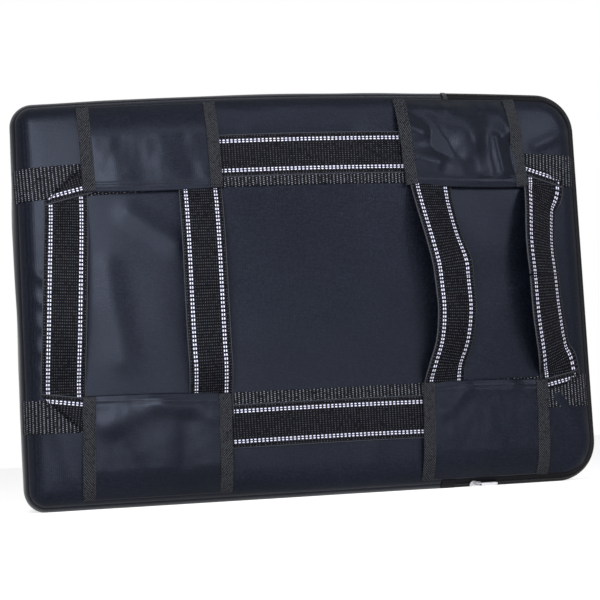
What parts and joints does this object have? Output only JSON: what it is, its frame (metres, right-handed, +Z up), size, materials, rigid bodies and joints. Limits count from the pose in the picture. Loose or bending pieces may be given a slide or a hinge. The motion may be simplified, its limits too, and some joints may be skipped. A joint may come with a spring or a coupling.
{
  "type": "kick shield",
  "caption": "Rectangular padded strike shield for kicking and punching practice: zipped fabric cover over layered foam, with webbing grips and forearm straps on its rear.",
  "frame": {"origin": "middle of the flat lower long edge, on the surface that the shield stands on", "axes": "+X to the right across the shield seen from its rear, +Z up, and the rear with its grips faces -Y, so the strike face is on +Y"},
  "size_m": [0.65, 0.1656, 0.457],
  "materials": {
    "satin_nylon": "satin",
    "strike_fabric": "satin",
    "soft_foam": "matte",
    "firm_foam": "matte",
    "binding_tape": "matte",
    "plain_webbing": "matte",
    "striped_webbing": "matte",
    "zip_tape": "matte",
    "zip_coil": "satin",
    "zip_metal": "satin"
  },
  "bodies": {
    "root": {"base_strap_lower": "plain_webbing", "base_strap_upper": "plain_webbing", "binding_lower_left_left": "binding_tape", "binding_lower_left_right": "binding_tape", "binding_lower_right_left": "binding_tape", "binding_lower_right_right": "binding_tape", "binding_upper_left_left": "binding_tape", "binding_upper_left_right": "binding_tape", "binding_upper_right_left": "binding_tape", "binding_upper_right_right": "binding_tape", "core_foam": "soft_foam", "inner_left_grip_bottom_end": "striped_webbing", "inner_left_grip_top_end": "striped_webbing", "inner_right_grip_bottom_end": "striped_webbing", "inner_right_grip_top_end": "striped_webbing", "loop_corner_lower_left": "striped_webbing", "loop_corner_lower_right": "striped_webbing", "loop_corner_upper_left": "striped_webbing", "loop_corner_upper_right": "striped_webbing", "loop_run_lower": "striped_webbing", "loop_run_upper": "striped_webbing", "outer_left_grip_bottom_end": "striped_webbing", "outer_left_grip_top_end": "striped_webbing", "outer_right_grip_bottom_end": "striped_webbing", "outer_right_grip_top_end": "striped_webbing", "rear_foam": "soft_foam", "rear_panel": "satin_nylon", "side_gusset": "satin_nylon", "strike_foam": "firm_foam", "strike_panel": "strike_fabric", "tunnel_lower_left": "satin_nylon", "tunnel_lower_right": "satin_nylon", "tunnel_upper_left": "satin_nylon", "tunnel_upper_right": "satin_nylon", "zip_coil": "zip_coil", "zip_garage": "zip_tape", "zip_gusset_tape": "zip_tape", "zip_panel_tape": "zip_tape", "zip_top_stop": "zip_coil"},
    "outer_left_grip": {"outer_left_grip_middle": "striped_webbing"},
    "outer_right_grip": {"outer_right_grip_middle": "striped_webbing"},
    "inner_left_grip": {"inner_left_grip_middle": "striped_webbing"},
    "inner_right_grip": {"inner_right_grip_middle": "striped_webbing"},
    "slider": {"zip_slider": "zip_metal"},
    "pull_tab": {"zip_pull_tab": "zip_metal"}
  },
  "joints": [
    {"name": "outer_left_grip_swing", "type": "hinge", "parent": "root", "child": "outer_left_grip", "pos_m": [-0.2735, -0.0624, 0.23], "axis": [0.0566, 0, 0.9984], "range_deg": [-38, 38], "deforming": ["outer_left_grip_top_end", "outer_left_grip_bottom_end"]},
    {"name": "outer_right_grip_swing", "type": "hinge", "parent": "root", "child": "outer_right_grip", "pos_m": [0.287, -0.0624, 0.23], "axis": [0, 0, 1], "range_deg": [-62, 8], "deforming": ["outer_right_grip_top_end", "outer_right_grip_bottom_end"]},
    {"name": "inner_left_grip_swing", "type": "hinge", "parent": "root", "child": "inner_left_grip", "pos_m": [-0.11625, -0.0642, 0.234], "axis": [0.0252, 0, 0.9997], "range_deg": [-38, 38], "deforming": ["inner_left_grip_top_end", "inner_left_grip_bottom_end"]},
    {"name": "inner_right_grip_swing", "type": "hinge", "parent": "root", "child": "inner_right_grip", "pos_m": [0.1475, -0.0642, 0.234], "axis": [0.0229, 0, 0.9997], "range_deg": [-75, 10], "deforming": ["inner_right_grip_top_end", "inner_right_grip_bottom_end"]},
    {"name": "zip_slider_slide", "type": "slide", "parent": "root", "child": "slider", "axis": [1, 0, 0], "range_m": [-0.012, 0.085]},
    {"name": "pull_tab_flip", "type": "hinge", "parent": "slider", "child": "pull_tab", "pos_m": [0.177, -0.05296, 0.00229], "axis": [0, 0.788, -0.6157], "range_deg": [0, 160]}
  ]
}
